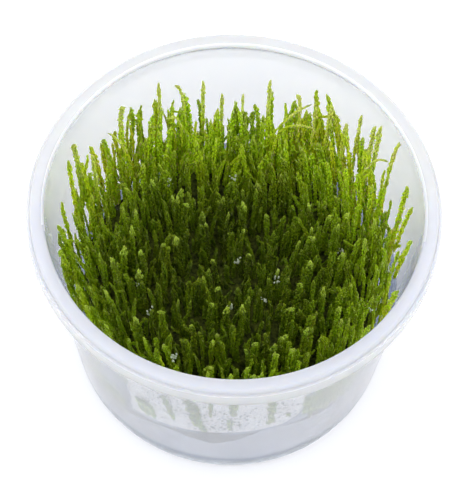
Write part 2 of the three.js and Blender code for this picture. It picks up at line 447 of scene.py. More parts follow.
def moss_green(name, tip, middle, root, shade_lift_span, young_from):
    """Wet leaves: a little darker at the root, painted lighter low in the bed to lift its shade, with painted
    shade in the bed's shaded spot and painted highlights on the palest leaves; a young shoot is yellow-green
    from young_from up
    """
    look = Look(name)
    along, leaf = look.attribute("along"), look.attribute("leaf")
    per_shoot = look.ramp(look.attribute("shade"), (0.0, (0.5, 0.47, 0.4)), (0.5, (0.9, 0.92, 0.85)),
                          (1.0, (1.4, 1.37, 1.3)))
    per_leaf = look.ramp(leaf, (0.0, grey(0.82)), (0.8, grey(1.05)), (1.0, grey(1.3)))
    colour = look.times(look.two_tone(along, root, middle, 0.3, 0.85), per_shoot, per_leaf)
    # Painted highlight: the leaves with the highest numbers are blended towards the glint colour
    colour = look.blend(look.scaled(leaf, 0.78, 1.0, 0, 0.75), colour, GLINT_PAINT)
    # Painted light: leaves low in the bed are made lighter, lifting their shade, and the highest a little
    # darker
    depth = look.ramp(look.up_axis("Z", *shade_lift_span), (0.0, (1.35, 1.45, 1.2)), (0.5, (1.2, 1.25, 1.1)),
                      (1.0, grey(0.95)))
    colour = look.times(colour, depth, sunned(look))
    young = look.add("ShaderNodeMath", {0: look.scaled(along, young_from, 0.97), 1: look.attribute("youth")},
                     operation="MULTIPLY")
    colour = look.blend(young.outputs[0], colour, tip)
    mottle = look.two_tone(look.noise(420, 3), (0.8, 0.74, 0.6), (1.1, 1.1, 1.05))
    older = look.two_tone(look.noise(85), grey(1.0), (1.06, 0.97, 1.0), 0.5, 0.68)
    return look.finish({
        "Base Color": look.times(colour, mottle, older),
        "Roughness": look.uneven(700, 0.35, 0.55),
        "Specular IOR Level": 0.12,
        "Subsurface Weight": 0.7,
        "Subsurface Radius": (0.8, 1.0, 0.2),
        "Subsurface Scale": 0.0006,
        "Normal": look.bump(look.noise(2600), 0.2, 0.0001),
    })


# Cup and gel

def curve_to(points, corner, end, steps):
    """Round a corner of the outline, from its last point to end"""
    start = points[-1]
    for i in range(1, steps + 1):
        t = i / steps
        points.append(tuple((1 - t) ** 2 * a + 2 * t * (1 - t) * b + t * t * c
                            for a, b, c in zip(start, corner, end)))


def rounded(points, radius, height, reach, before, after, steps):
    """A rounded corner; before and after point along its two sides"""
    points.append((radius + before[0] * reach, height + before[1] * reach))
    curve_to(points, (radius, height), (radius + after[0] * reach, height + after[1] * reach), steps)


def straight_to(points, radius_at, end, rows):
    """Follow a wall from the outline's last height to end"""
    start = points[-1][1]
    for i in range(1, rows + 1):
        height = between(start, end, i / rows)
        points.append((radius_at(height), height))


def spun(name, outline, steps, material):
    """Turn an outline of (radius, height) points once round the cup's axis"""
    mesh = bpy.data.meshes.new(name)
    mesh.from_pydata([(r, 0, z) for r, z in outline], [(i, i + 1) for i in range(len(outline) - 1)], [])
    piece = linked(name, mesh)
    pick(piece)
    edit_whole()
    bpy.ops.mesh.spin(steps=steps, angle=2 * math.pi, center=(0, 0, 0), axis=(0, 0, 1))
    bpy.ops.mesh.select_all(action="SELECT")
    bpy.ops.mesh.remove_doubles(threshold=0.005 * MM)
    bpy.ops.mesh.normals_make_consistent(inside=False)
    leave_edit()
    smooth_below(piece, 38, material)
    return piece


def cup_outline():
    """From the middle of the base, up the outside, over the rim and down the inside"""
    under = CUP_HEIGHT - PLATE_THICKNESS
    below = under - PLATE_ROUND
    skirt_inner = RIM_RADIUS - SKIRT_THICKNESS
    points = [(0, 0), (BASE_RADIUS, 0)]
    curve_to(points, (wall_outer(0), 0), (HEEL_RADIUS, HEEL_HEIGHT), HEEL_STEPS)
    straight_to(points, wall_outer, below, OUTER_ROWS)
    curve_to(points, (wall_outer(under), under), (wall_outer(under) + PLATE_ROUND, under), 4)
    rounded(points, skirt_inner, under, PLATE_ROUND, (-1, 0), (0, -1), 4)
    rounded(points, skirt_inner, SKIRT_LOW, SKIRT_ROUND, (0, 1), (1, 0), 3)
    rounded(points, RIM_RADIUS, SKIRT_LOW, SKIRT_ROUND, (-1, 0), (0, 1), 3)
    rounded(points, RIM_RADIUS, STEP_HEIGHT, SKIRT_ROUND, (0, -1), (-1, 0), 4)
    rounded(points, STEP_RADIUS, STEP_HEIGHT, SKIRT_ROUND / 2, (1, 0), (0, 1), 3)
    curve_to(points, (STEP_RADIUS, CUP_HEIGHT), (TOP_OUTER_RADIUS, CUP_HEIGHT), 8)
    points.append((TOP_INNER_RADIUS, CUP_HEIGHT))
    inner_edge = CUP_HEIGHT - INNER_ROUND
    curve_to(points, (wall_inner(CUP_HEIGHT), CUP_HEIGHT), (wall_inner(inner_edge), inner_edge), 8)
    straight_to(points, wall_inner, INNER_HEEL, INNER_ROWS)
    curve_to(points, (wall_inner(FLOOR_THICKNESS), FLOOR_THICKNESS),
             (BASE_RADIUS - WALL_THICKNESS, FLOOR_THICKNESS), HEEL_STEPS)
    points.append((0, FLOOR_THICKNESS))
    return points


def make_cup(wall_plastic, rim_plastic, skirt_plastic, edge_plastic, inside_plastics):
    """The cup, with the cloudier plastics on its rim, its skirt, the rim's inner edge and its inside"""
    cup = spun("cup_shell", cup_outline(), CUP_STEPS, wall_plastic)
    rim, skirt, edge, first_inside = range(1, 5)
    for plastic in (rim_plastic, skirt_plastic, edge_plastic, *inside_plastics):
        cup.data.materials.append(plastic)
    for face in cup.data.polygons:
        x, y, z = face.center
        if math.hypot(x, y) < wall_outer(z) - WALL_THICKNESS / 2:
            step = (y - MILKIER_FROM) / MILKIER_STEP + 1
            face.material_index = first_inside + int(min(max(step, 0), len(inside_plastics) - 1))
            if z > CUP_HEIGHT - EDGE_DEPTH:
                face.material_index = edge if y > EDGE_FROM else rim
        elif z > RIM_FROM:
            face.material_index = skirt if z < SKIRT_TO else rim
    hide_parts("cup")
    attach(cup, "root")


def gel_outline():
    """From the middle of the underside, out and up the wall, and in again over a rounded shoulder"""
    low = FLOOR_THICKNESS + GEL_CLEARANCE
    edge = wall_inner(GEL_EDGE)
    points = [(0, low), (BASE_RADIUS - WALL_THICKNESS - GEL_CLEARANCE, low)]
    curve_to(points, (wall_inner(low) - GEL_CLEARANCE, low),
             (wall_inner(INNER_HEEL) - GEL_CLEARANCE, INNER_HEEL), HEEL_STEPS)
    points.append((edge - GEL_CLEARANCE, GEL_EDGE))
    points.append((edge - 0.9 * MM, GEL_EDGE + 0.3 * MM))
    curve_to(points, (edge - 1.6 * MM, GEL_TOP), (wall_inner(GEL_TOP) - 3.5 * MM, GEL_TOP), 6)
    points.append((0, GEL_TOP))
    return points


def make_gel(material):
    """The gel, its edge moved up or down the wall where it has set aslant"""
    gel = spun("gel_layer", gel_outline(), GEL_STEPS, material)
    for vertex in gel.data.vertices:
        x, y, z = vertex.co
        reach = math.hypot(x, y)
        if z > GEL_EDGE - 0.1 * MM and reach > wall_inner(GEL_EDGE) - 1.4 * MM:
            shift = min(gel_edge(x) - GEL_EDGE, GEL_TOP - z)
            wider = 1 + WALL_LEAN * shift / reach
            vertex.co = (x * wider, y * wider, z + shift)
    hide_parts("gel")
    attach(gel, "root")


# One shoot

def leaf_row(length, leaf_length, leaf_width, spread, count):
    """Leaves set round a stem: one three-sided leaf, repeated up a golden spiral"""
    clear_selection()
    bpy.ops.mesh.primitive_cone_add(vertices=3, radius1=leaf_width / math.sqrt(3), radius2=0,
                                    depth=leaf_length * 0.6, location=(0, 0, leaf_length * 0.7))
    leaf = bpy.context.object
    bpy.ops.object.transform_apply(location=True)
    foot = max(leaf.data.vertices, key=lambda vertex: vertex.co.y)
    move_corner(leaf, foot.index, (0, spread * 0.3 - foot.co.y, -leaf_length * 0.4))
    edit_whole()
    bpy.ops.transform.translate(value=(0, -spread * 0.3, 0))
    leave_edit()
    pitch = (length - leaf_length) / (count - 1)
    bpy.ops.object.empty_add(location=(0, 0, pitch), rotation=(0, 0, GOLDEN_ANGLE))
    step = bpy.context.object
    bpy.context.view_layer.update()
    pick(leaf)
    bpy.ops.object.modifier_add(type="ARRAY")
    row = leaf.modifiers[0]
    row.count = count
    row.use_relative_offset = False
    row.use_object_offset = True
    row.offset_object = step
    bpy.ops.object.modifier_apply(modifier=row.name)
    bpy.data.objects.remove(step)
    return leaf


def move_corner(piece, corner, offset):
    pick(piece)
    for vertex in piece.data.vertices:
        vertex.select = vertex.index == corner
    for part in (*piece.data.edges, *piece.data.polygons):
        part.select = False
    bpy.ops.object.mode_set(mode="EDIT")
    bpy.ops.mesh.select_mode(type="VERT")
    bpy.ops.transform.translate(value=offset)
    leave_edit()


def bare_stem(length, radius, rings):
    """A thin three-sided stem, drawn up ring by ring"""
    clear_selection()
    bpy.ops.mesh.primitive_circle_add(vertices=3, radius=radius, fill_type="NGON", location=(0, 0, 0))
    stem = bpy.context.object
    edit_whole()
    for ring in range(rings):
        bpy.ops.mesh.extrude_region_move(TRANSFORM_OT_translate={"value": (0, 0, length / rings)})
        bpy.ops.transform.resize(value=(0.88, 0.88, 1))
    bpy.ops.mesh.select_all(action="SELECT")
    bpy.ops.mesh.normals_make_consistent(inside=False)
    bpy.ops.mesh.quads_convert_to_tris()
    leave_edit()
    return stem


def read_mesh(piece):
    """Its corners and triangles, as arrays"""
    mesh = piece.data
    corners = np.empty(len(mesh.vertices) * 3)
    mesh.vertices.foreach_get("co", corners)
    mesh.calc_loop_triangles()
    triangles = np.empty(len(mesh.loop_triangles) * 3, dtype=np.int32)
    mesh.loop_triangles.foreach_get("vertices", triangles)
    return corners.reshape(-1, 3), triangles.reshape(-1, 3)


class Shoot:
    """A straight leafy shoot to be bent along paths, sized in millimetres"""

    def __init__(self, length, leaf_length, leaf_width, spread, count, use):
        length *= MM
        leaves = leaf_row(length, leaf_length * MM, leaf_width * MM, spread * MM, count)
        stem = bare_stem(length * 0.985, STEM_RADIUS, 6)
        leaf_corners, leaf_triangles = read_mesh(leaves)
        stem_corners, stem_triangles = read_mesh(stem)
        self.ruffle(leaf_corners, count, use)
        self.corners = np.concatenate([leaf_corners, stem_corners])
        self.corners[:, 2] = np.clip(self.corners[:, 2] / length, 0, 1)
        self.triangles = np.concatenate([leaf_triangles, stem_triangles + len(leaf_corners)])
        numbers = np.repeat(scatter(count, use + 3), LEAF_CORNERS)
        self.leaf = np.concatenate([numbers, np.full(len(stem_corners), 0.3)])
        self.count = len(self.corners)
        for piece in (leaves, stem):
            bpy.data.objects.remove(piece)

    @staticmethod
    def ruffle(corners, count, use):
        """Turn, spread and raise each leaf differently, closer to the stem at foot and bud"""
        lean, turn, lift = scatter(count, use), scatter(count, use + 1), scatter(count, use + 2)
        for i in range(count):
            part = corners[i * LEAF_CORNERS:(i + 1) * LEAF_CORNERS]
            up = i / count
            at_foot, at_bud = min(1.0, 0.75 + 0.5 * up), min(1.0, 0.48 + (1 - up) * 5)
            full = at_foot * at_bud * (0.6 + 0.8 * lean[i])
            angle = (turn[i] - 0.5) * 0.8
            x, y = part[:, 0].copy(), part[:, 1].copy()
            part[:, 0] = (x * math.cos(angle) - y * math.sin(angle)) * full
            part[:, 1] = (x * math.sin(angle) + y * math.cos(angle)) * full
            part[:, 2] += (lift[i] - 0.5) * 0.3 * MM


# Bent copies

def along_cubic(points, s):
    """Places at the shares s of cubic paths, which four control points give"""
    p0, p1, p2, p3 = points
    return (1 - s) ** 3 * p0 + 3 * s * (1 - s) ** 2 * p1 + 3 * s * s * (1 - s) * p2 + s ** 3 * p3


def unit(vectors):
    return vectors / np.maximum(np.linalg.norm(vectors, axis=2, keepdims=True), 1e-9)


def bent(shoot, paths, width, flatness, twist, clearance=BEHIND_MIST, apart=APART, lowest=ON_GEL):
    """Corners of one copy of the shoot along each cubic path: an array of copies by corners by three

    clearance is kept to the wall behind its mist; the stems stay farther off by apart
    """
    s = shoot.corners[:, 2][None, :, None]
    p0, p1, p2, p3 = points = [paths[:, i, None, :] for i in range(4)]
    centre = press_on_wall(along_cubic(points, s), clearance + apart, PRESSED + 1.5 * apart, lowest)
    along = unit(3 * (1 - s) ** 2 * (p1 - p0) + 6 * s * (1 - s) * (p2 - p1) + 3 * s * s * (p3 - p2))
    face = np.stack([np.cos(twist), np.sin(twist), np.zeros_like(twist)], 1)[:, None, :]
    across = unit(face - (face * along).sum(2, keepdims=True) * along)
    other = np.cross(along, across)
    x, y = (shoot.corners[:, i][None, :, None] * width[:, None, None] for i in (0, 1))
    return press_on_wall(centre + across * x + other * y * flatness, clearance, PRESSED, lowest)


def press_on_wall(places, at_mist, elsewhere, lowest):
    """What would go into the wall, through its mist or too low is flattened against it"""
    reach = np.hypot(places[..., 0], places[..., 1])
    turn = np.degrees(np.arctan2(places[..., 1], places[..., 0]))
    behind_mist = np.abs(turn - MIST_MIDDLE) < MIST_SPREAD + 2
    limit = wall_inner(places[..., 2]) - np.where(behind_mist, at_mist, elsewhere)
    pull = np.minimum(1, limit / np.maximum(reach, 1e-9))
    places[..., 0] *= pull
    places[..., 1] *= pull
    places[..., 2] = np.maximum(places[..., 2], lowest)
    return places


def moss_mesh(name, parts, material):
    """Join bent copies into one piece, with the values that its material reads.

    parts: (places, shoot, shade of each copy, youth of each copy)
    """
    corners, triangles, values = [], [], []
    start = 0
    for places, shoot, tones, young in parts:
        for corner_places, tone, freshness in zip(places, tones, young):
            corners.append(corner_places)
            triangles.append(shoot.triangles + start)
            values.append(np.broadcast_arrays(shoot.corners[:, 2], tone, shoot.leaf, freshness))
            start += shoot.count
    piece = joined(name, corners, triangles, material)
    for label, column in zip(("along", "shade", "leaf", "youth"), np.concatenate(values, 1)):
        layer = piece.data.attributes.new(label, "FLOAT", "POINT")
        layer.data.foreach_set("value", column.astype(np.float32))
    return piece


# The bed

def clump(x, y, use):
    """Slow swell over the bed, from -1 to 1, so that neighbours are alike"""
    return (np.sin(x * 175 + use * 2.1) * np.cos(y * 150 - use * 1.3)
            + 0.6 * np.sin(x * 370 - y * 290 + use)) / 1.6


def clumps(x, y, wide, fine, finer=2.4):
    """Wide and fine clumps together, each given as use and height in millimetres"""
    return (wide[1] * clump(x, y, wide[0]) + fine[1] * clump(x * finer, y * finer, fine[0])) * MM


def spread_of(count, use, x, y, z):
    """An offset for each of count items, up to half of x, y and z millimetres either way"""
    return np.stack([(scatter(count, use + i) - 0.5) * size for i, size in enumerate((x, y, z))], 1) * MM


def bed_roots(count):
    """Where shoots stand: a jittered spiral over the bed, clear of the back wall"""
    number = np.arange(count)
    reach = BED_RADIUS * np.sqrt((number + 0.5) / count)
    turn = number * GOLDEN_ANGLE
    root = np.stack([reach * np.cos(turn), reach * np.sin(turn)], 1) + spread_of(count, 1, 1.6, 1.6, 0)[:, :2]
    x, y = root[:, 0], root[:, 1]
    back_edge = 27.5 * MM + 4 * MM * grows(np.abs(x + 2 * MM), 0, 30 * MM)
    root[:, 1] = np.where(y > back_edge, back_edge - (y - back_edge) * 0.8, y)
    return root


def lean(x, y):
    """How far a shoot rooted here leans over its whole height: out to the sides and a little back"""
    fan = np.clip(0.07 - 3 * y, 0.03, 0.15) + 0.07 * grows(np.hypot(x, y), 28 * MM, 7 * MM)
    fan = np.where(x > 0, fan * 0.3 - 0.13 * grows(y, 0, 20 * MM), fan)
    side = x * fan + clumps(x, y, (1, 1.2), (4, 1.3))
    at_front_wall = grows(-y, 31 * MM, 5 * MM)
    back = 5.4 * MM * grows(y, -33 * MM, 14 * MM) + 0.1 * np.maximum(y, 0) - 2.4 * MM * at_front_wall
    return side, back + clumps(x, y, (2, 1.4), (6, 1.0))


def crown(x, y):
    """Height of the standing tips over a place: highest at the back and sides, lower in the hollows"""
    dip = np.exp(-((y + 10 * MM) / (14 * MM)) ** 2 - (x / (24 * MM)) ** 2)
    back_right = grows(x + 0.6 * y, 34 * MM, 8 * MM) * (y > 4 * MM)
    back_left = grows(0.5 * y - x, 36 * MM, 6 * MM) * (y > 4 * MM)
    height = CROWN_HEIGHT - 2 * MM * dip + clumps(x, y, (3, 0.9), (9, 0.9), 2.6)
    height = height + (3.2 * back_right + 1.5 * back_left + 1.2 * grows(y, 22 * MM, 5 * MM)) * MM
    for spot_x, spot_y, depth, reach in HOLLOWS:
        away = ((x - spot_x * MM) ** 2 + (y - spot_y * MM) ** 2) / (reach * MM) ** 2
        height = height - depth * MM * np.exp(-away)
    return height


def shoot_paths(root, height, wander, sway, hook, hooked):
    """A cubic path for each shoot, from its root on the gel to its tip, leaning as its place does"""
    x, y = root[:, 0], root[:, 1]
    side, back = lean(x, y)
    low = GEL_TOP + 0.3 * MM
    share = (height - low) / FULL_RISE
    start = np.stack([x, y, np.full(len(x), low)], 1)
    tip = np.stack([x + side * share, y + back * share, height], 1) + wander
    rise = tip - start
    first = start + rise * np.array((0.15, 0.15, 0.4)) + sway * 0.5
    second = start + rise * np.array((0.6, 0.6, 0.75)) + sway
    second = np.where(hooked[:, None], tip + np.array((0, 0, 1.6 * MM)), second)
    tip = np.where(hooked[:, None], tip + hook, tip)
    return np.stack([start, first, second, tip], 1)


def from_middle(place):
    """Distance from the middle of the bed as the photo shows it"""
    return np.hypot(place[:, 0], place[:, 1] + 6 * MM)


def bed_paths(count):
    """The bed: some shoots standing, the rest lower between them, and some lower still beside the wall"""
    root = bed_roots(count)
    standing = scatter(count, 3) < STANDING_SHARE
    depth = np.where(standing, 4.0 * scatter(count, 15) ** 1.3, 3.2 + 8.5 * scatter(count, 16) ** 0.9) * MM
    hooked = standing & (scatter(count, 10) > 0.7)
    beside_wall = grows(from_middle(root), 26 * MM, 8 * MM) * (root[:, 1] > -10 * MM)
    thinned = scatter(count, 19) < THINNED_SHARE * beside_wall
    height = crown(root[:, 0], root[:, 1]) - np.where(thinned, depth + 7 * MM, depth)
    paths = shoot_paths(root, height, spread_of(count, 4, 3.8, 3.2, 0), spread_of(count, 6, 4.2, 4.2, 0),
                        spread_of(count, 8, 3, 2, 0), hooked)
    return paths, standing


def young_paths():
    """The bright young shoots, their tips at noted places"""
    tip = np.array(YOUNG_TIPS) * MM
    x, y = tip[:, 0], tip[:, 1]
    count = len(tip)
    height = np.minimum(crown(x, y) + 1.2 * MM, 56 * MM) - 1.5 * MM * scatter(count, 33)
    side, back = lean(x, y)
    share = (height - GEL_TOP) / FULL_RISE
    root = tip - np.stack([side * share, back * share], 1) * 0.9
    root[:, 0] -= (0.5 + 3.0 * scatter(count, 37)) * MM * np.clip(x / (15 * MM), -0.6, 1)
    hooked = (scatter(count, 34) > 0.5) & (np.abs(x) < 20 * MM)
    return shoot_paths(root, height, spread_of(count, 35, 0.4, 0.4, 0), spread_of(count, 38, 2, 2, 0),
                       spread_of(count, 41, 3.2, 1.6, 0), hooked)


def side_twigs(paths, count):
    """Short branches set askew on the shoots, and which shoot each stands on"""
    mother = (scatter(count, 44) * len(paths)).astype(int)
    start = along_cubic([paths[mother, i] for i in range(4)], (0.5 + 0.42 * scatter(count, 45))[:, None])
    turn = scatter(count, 46) * 2 * math.pi
    length = (0.7 + 0.5 * scatter(count, 50))[:, None] * MM
    out = np.stack([np.cos(turn) * 3.2, np.sin(turn) * 3.2, 2.5 + 3 * scatter(count, 51)], 1) * length
    up = np.array((0, 0, 1.2)) * length
    return np.stack([start, start + out * 0.35, start + out * 0.8, start + out + up], 1), mother


def make_moss(material):
    """The mass of shoots, in sectors round the axis, in place of the mat's solid"""
    tall = [Shoot(26, 1.6, 0.44, spread, 150, 20 + 4 * i) for i, spread in enumerate((0.85, 1.0, 1.15))]
    short = [Shoot(16, 1.6, 0.44, spread, 92, 40 + 4 * i) for i, spread in enumerate((0.9, 1.05))]
    twig = Shoot(7, 1.4, 0.4, 0.85, 40, 52)
    paths, standing = bed_paths(SHOOT_COUNT)
    fresh = young_paths()
    paths = np.concatenate([paths, fresh])
    count = len(paths)
    tip = paths[:, 3]
    young = np.arange(count) >= SHOOT_COUNT
    standing = np.concatenate([standing, np.ones(len(fresh), bool)])
    fresher = scatter(count, 17)
    youth = np.where(young, 0.8 + 0.2 * fresher, np.where(standing, 0.45 * fresher ** 2, 0))
    at_edge = grows(from_middle(tip), 27 * MM, 10 * MM)
    youth = np.where(standing & ~young, youth + 0.6 * at_edge * scatter(count, 18), youth)
    width = 0.92 + 0.62 * scatter(count, 11) ** 1.3 + 0.18 * standing + 0.15 * young
    twist = (scatter(count, 12) - 0.5) * 2.2
    tone = 0.5 + 0.3 * clump(tip[:, 0], tip[:, 1], 7) + 0.8 * (scatter(count, 13) - 0.5)
    choice = scatter(count, 14)
    kind = np.where(standing | (tip[:, 2] > TALL_FROM), (choice * len(tall)).astype(int),
                    len(tall) + (choice * len(short)).astype(int))
    around = np.arctan2(tip[:, 1], tip[:, 0]) / (2 * math.pi) + 0.5
    sector = (around * PIECE_COUNT).astype(int) % PIECE_COUNT
    twig_paths, twig_of = side_twigs(paths, TWIG_COUNT)
    twig_width = 0.85 + 0.3 * scatter(TWIG_COUNT, 48)
    twig_twist = scatter(TWIG_COUNT, 49) * 2 * math.pi
    for piece_number in range(PIECE_COUNT):
        parts = []
        for i, shoot in enumerate(tall + short):
            mine = (sector == piece_number) & (kind == i)
            copies = bent(shoot, paths[mine], width[mine], 0.6, twist[mine])
            parts.append((copies, shoot, tone[mine], youth[mine]))
        mine = sector[twig_of] == piece_number
        copies = bent(twig, twig_paths[mine], twig_width[mine], 0.7, twig_twist[mine])
        parts.append((copies, twig, tone[twig_of][mine], 0.35 * scatter(TWIG_COUNT, 47)[mine]))
        piece = moss_mesh(f"moss_{piece_number + 1}", parts, material)
        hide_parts("moss_mat")
        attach(piece, "root")


def make_old_stems(material):
    """The dark cushion of old stems and lower shoots that the leafy ones stand in"""
    low = GEL_TOP + 0.4 * MM
    clear_selection()
    bpy.ops.mesh.primitive_cylinder_add(vertices=72, radius=1, depth=STEM_TOP - low,
                                        location=(0, 0, (low + STEM_TOP) / 2), end_fill_type="TRIFAN")
    cushion = bpy.context.object
    cushion.name = "old_stems"
    bpy.ops.object.transform_apply(location=True)
    edit_whole()
    bpy.ops.mesh.subdivide(number_cuts=3)
    leave_edit()
    for vertex in cushion.data.vertices:
        x, y, z = vertex.co
        reach = math.hypot(x, y)
        to_back = math.sin(math.atan2(y, x))
        edge = 36 * MM - 4.5 * MM * max(0, -to_back) ** 3 - 7 * MM * max(0, to_back) ** 2
        up = (z - GEL_TOP) / (STEM_TOP - GEL_TOP)
        edge *= 1 - 0.16 * max(0, up) ** 2
        x, y = x * edge, y * edge
        lump = clump(x * 2.5, y * 2.5, 5) * 1.2 * MM if up > 0.5 else 0
        vertex.co = (x, y, z + lump * (1 - reach ** 6))
    smooth_below(cushion, 50, material)
    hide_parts("moss_mat")
    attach(cushion, "root")


def make_tall_shoots(material, low_material):
    """A leafy shoot over each of the solids that stand for single shoots, with the solid's tip"""
    shoot = Shoot(21, 1.4, 0.42, 0.9, 130, 60)
    tones = 0.55 + 0.45 * scatter(len(TALL_SHOOTS), 30)
    for number, node in enumerate(TALL_SHOOTS):
        solid = np.array([v.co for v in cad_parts[node].data.vertices])
        tip = solid[solid[:, 2].argmax()]
        root = solid[solid[:, 2] < solid[:, 2].min() + 0.6 * MM].mean(0)
        share, ahead = (0.93, 1.5 * MM) if tip[1] < 10 * MM else (0.95, 5 * MM)
        root[:2] = tip[:2] * share - (0, ahead)
        rise = tip - root
        second, end = root + rise * (0.55, 0.55, 0.72), tip
        if node in HOOKED:
            second = tip + np.array((-0.3 * HOOKED[node], 0, 1.2)) * MM
            end = tip + np.array((HOOKED[node], 0, -0.9)) * MM
        path = np.array([[root, root + rise * (0.2, 0.2, 0.38), second, end]])
        width = np.array([1.6 if abs(tip[0]) > 20 * MM else 1.25])
        copy = bent(shoot, path, width, 0.75, np.array([float(number)]), apart=0.5 * APART)
        high = tip[1] > 14 * MM
        piece = moss_mesh(f"leafy_{node}", [(copy, shoot, [tones[number]], [0.95 if high else 0.8])],
                          material if high else low_material)
        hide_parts(node)
        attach(piece, "root")


def make_stray_shoots(material):
    """A few pale shoots that arch over or lie across the others at the back"""
    shoot = Shoot(14, 1.6, 0.42, 0.6, 60, 64)
    paths = np.array(STRAY_PATHS) * MM
    copies = bent(shoot, paths, np.ones(len(paths)), 0.8, scatter(len(paths), 66) * math.pi)
    tones = np.full(len(paths), 0.8)
    piece = moss_mesh("stray_shoots", [(copies, shoot, tones, tones)], material)
    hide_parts("moss_mat")
    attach(piece, "root")


# At the front wall

def make_wall_shoots(material):
    """Shoots pressed flat on the inside of the front wall, seen through it as green streaks"""
    shoot = Shoot(18, 1.4, 0.45, 0.8, 80, 70)
    streaks = list(STREAKS)
    for group, (first, last, count, foot_low, foot_high, tip_low, tip_high) in enumerate(WALL_GROUPS):
        spot, low, high, side = (scatter(count, 80 + 5 * group + i) for i in range(4))
        for i in range(count):
            foot = between(first, last, (i + spot[i]) / count)
            outward = -1 if foot < -90 else 1
            streaks.append((foot, between(foot_low, foot_high, low[i]), foot + outward * 4 * side[i],
                            between(tip_low, tip_high, high[i]), 1.3))
    paths = []
    for foot_angle, foot_height, tip_angle, tip_height, wide in streaks:
        path = []
        for share in (0, 0.35, 0.7, 1):
            height = between(foot_height, tip_height, share) * MM
            turn = between(foot_angle, tip_angle, share ** 1.3)
            path.append(on_circle(turn, wall_inner(height) - 0.45 * MM, height))
        paths.append(path)
    foot_angles, tip_angles, widths = np.array(streaks)[:, (0, 2, 4)].T
    twists = np.radians((foot_angles + tip_angles) / 2 + 90)
    copies = bent(shoot, np.array(paths), widths * 1.5, 0.4, twists, PRESSED, 0, FLOOR_THICKNESS)
    tones = 0.6 + 0.4 * scatter(len(streaks), 90)
    tones = np.where(foot_angles < FAINT_BEFORE, tones - 0.4, tones)
    piece = moss_mesh("wall_shoots", [(copies, shoot, tones, np.clip(tones, 0, 1) * 0.6)], material)
    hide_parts("moss_mat")
    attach(piece, "root")


def wall_sheet(name, columns, rows, place, thickness, material, node):
    """A thin sheet behind the front wall; place gives angle, height and depth behind it"""
    clear_selection()
    bpy.ops.mesh.primitive_grid_add(x_subdivisions=columns, y_subdivisions=rows, size=2)
    sheet = bpy.context.object
    sheet.name = name
    for vertex in sheet.data.vertices:
        turn, height, depth = place(vertex.co.x, (vertex.co.y + 1) / 2)
        vertex.co = on_circle(turn, wall_inner(height) - depth, height)
    pick(sheet)
    bpy.ops.object.modifier_add(type="SOLIDIFY")
    sheet.modifiers[0].thickness = thickness
    sheet.modifiers[0].offset = 0
    bpy.ops.object.modifier_apply(modifier=sheet.modifiers[0].name)
    smooth_below(sheet, 40, material)
    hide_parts(node)
    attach(sheet, "root")


def make_gel_edge_shade(material):
    """A sheet of painted shade in the gel behind the front wall: a dim band under its edge"""
    columns, rows = 90, 10
    ragged = scatter(columns + 1, 140)

    def place(across, up):
        turn = BAND_MIDDLE + BAND_SPREAD * across
        top = gel_edge_at(turn) - 0.2 * MM
        low = float(np.interp(turn, BAND_ANGLES, BAND_LOW)) * MM
        low = min(low + 0.6 * MM * ragged[int(round((across + 1) * columns / 2))], top - 0.2 * MM)
        deep = 1.3 + 0.9 * min(1, abs(turn + 95) / 12) + 1.2 * (1 - up)
        return turn, between(low, top, up), deep * MM

    wall_sheet("gel_edge_shade", columns, rows, place, 0.2 * MM, material, "moss_mat")


def make_mist(material):
    """The misted patch of the front wall's inside, above the gel and between the shoots on the wall"""
    columns, rows = 72, 24
    ragged = scatter(rows + 1, 95)

    def place(across, up):
        rounded = 1 - 0.22 * max(0, (0.22 - up) / 0.22) ** 2 * (across > 0)
        turn = MIST_MIDDLE + MIST_SPREAD * across * rounded * (1 - 0.05 * ragged[int(round(up * rows))])
        low = gel_edge_at(turn) + 0.4 * MM
        high = MIST_HIGH - 3 * MM * across ** 4 - 0.8 * MM * ragged[int(round((across + 1) * rows / 2))]
        height = between(low, high, up)
        depth = 0.5 + 0.45 * min(1, (height - low) / (4 * MM))
        return turn, height, depth * MM

    wall_sheet("wall_mist", columns, rows, place, 0.12 * MM, material, "cup")


# Drops

def drop_mesh(name, places, sizes, stretch, rise, material):
    """One low drop, copied to each place; stretch is its depth, and rise how much taller some are"""
    clear_selection()
    bpy.ops.mesh.primitive_uv_sphere_add(segments=8, ring_count=5, radius=1)
    drop = bpy.context.object
    corners, triangles = read_mesh(drop)
    bpy.data.objects.remove(drop)
    all_corners, all_triangles = [], []
    for number, (place, size) in enumerate(zip(places, sizes)):
        out = np.array((place[0], place[1], 0)) / max(1e-6, math.hypot(place[0], place[1]))
        deep = (corners @ out)[:, None] * out
        tall = 1 + rise * (number * 0.618 % 1)
        all_corners.append(np.array(place) + (corners + deep * (stretch - 1)) * size * np.array((1, 1, tall)))
        all_triangles.append(triangles + number * len(corners))
    return joined(name, all_corners, all_triangles, material)


def make_wall_drops(material):
    """Condensed drops on the inside of the front wall, thickest just above the gel"""
    places, sizes = [], []
    for angle_low, angle_high, low, high, count, use in DROP_FIELDS:
        turn, up, big = (scatter(count, use + i) for i in range(3))
        for i in range(count):
            height = between(low, high, up[i]) * MM
            size = (0.14 + 0.2 * big[i] ** 2) * MM
            angle = between(angle_low, angle_high, turn[i])
            places.append(on_circle(angle, wall_inner(height) - size * 0.5, height))
            sizes.append(size)
    piece = drop_mesh("wall_drops", places, sizes, 0.45, 0, material)
    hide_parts("cup")
    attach(piece, "root")


def make_held_drops(material):
    """Drops of water held between the leaves, in clusters"""
    places, sizes = [], []
    for number, (x, y, z, size) in enumerate(HELD_DROPS):
        asides = spread_of(HELD_BEADS, 120 + 3 * number, 1.6, 1.2, 2.4)
        for aside, big in zip(asides, scatter(HELD_BEADS, 200 + number)):
            places.append(np.array((x, y, z)) * MM + aside)
            sizes.append(size * (0.13 + 0.3 * big) * MM)
    piece = drop_mesh("held_drops", places, sizes, 0.5, 2.2, material)
    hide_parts("moss_mat")
    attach(piece, "root")


# Scene

